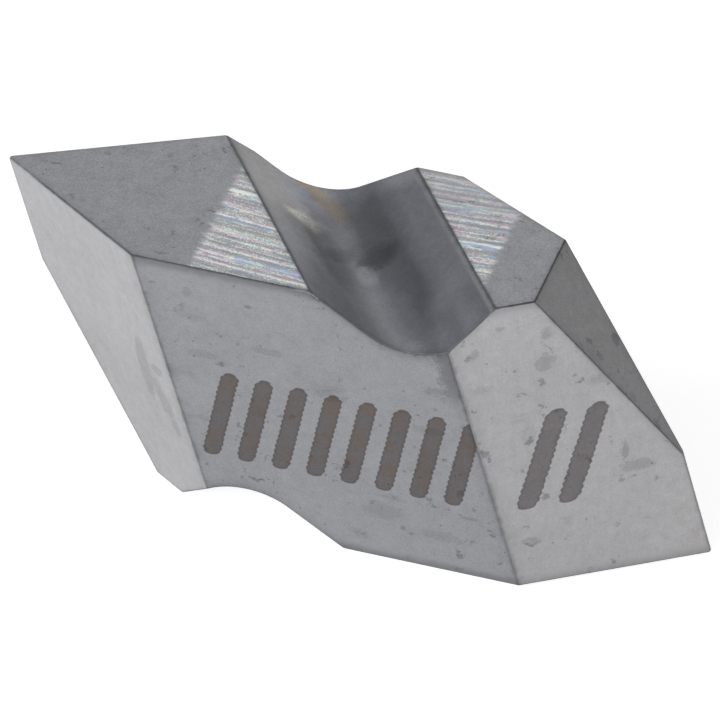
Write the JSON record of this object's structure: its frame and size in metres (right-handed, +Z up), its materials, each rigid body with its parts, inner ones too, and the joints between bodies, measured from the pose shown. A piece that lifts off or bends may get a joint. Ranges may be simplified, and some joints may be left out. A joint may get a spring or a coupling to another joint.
{
  "type": "carbide insert",
  "caption": "Threading insert of coated cemented carbide: a V point at each end and a skewed, round-bottomed clamping notch across each seat.",
  "frame": {"origin": "on the lower seat plane, under the middle of the insert's length and thickness", "axes": "+X from the left nose to the right nose, +Y across the thickness from the front side to the back side, +Z up from the lower seat to the upper one"},
  "size_m": [0.0126, 0.0038, 0.0056],
  "materials": {
    "coated_carbide": "cemented carbide with a thin grey vapour-deposited coating, finely ground, satin with faint grinding lines"
  },
  "bodies": {
    "root": {"insert_body": "coated_carbide"}
  },
  "joints": []
}
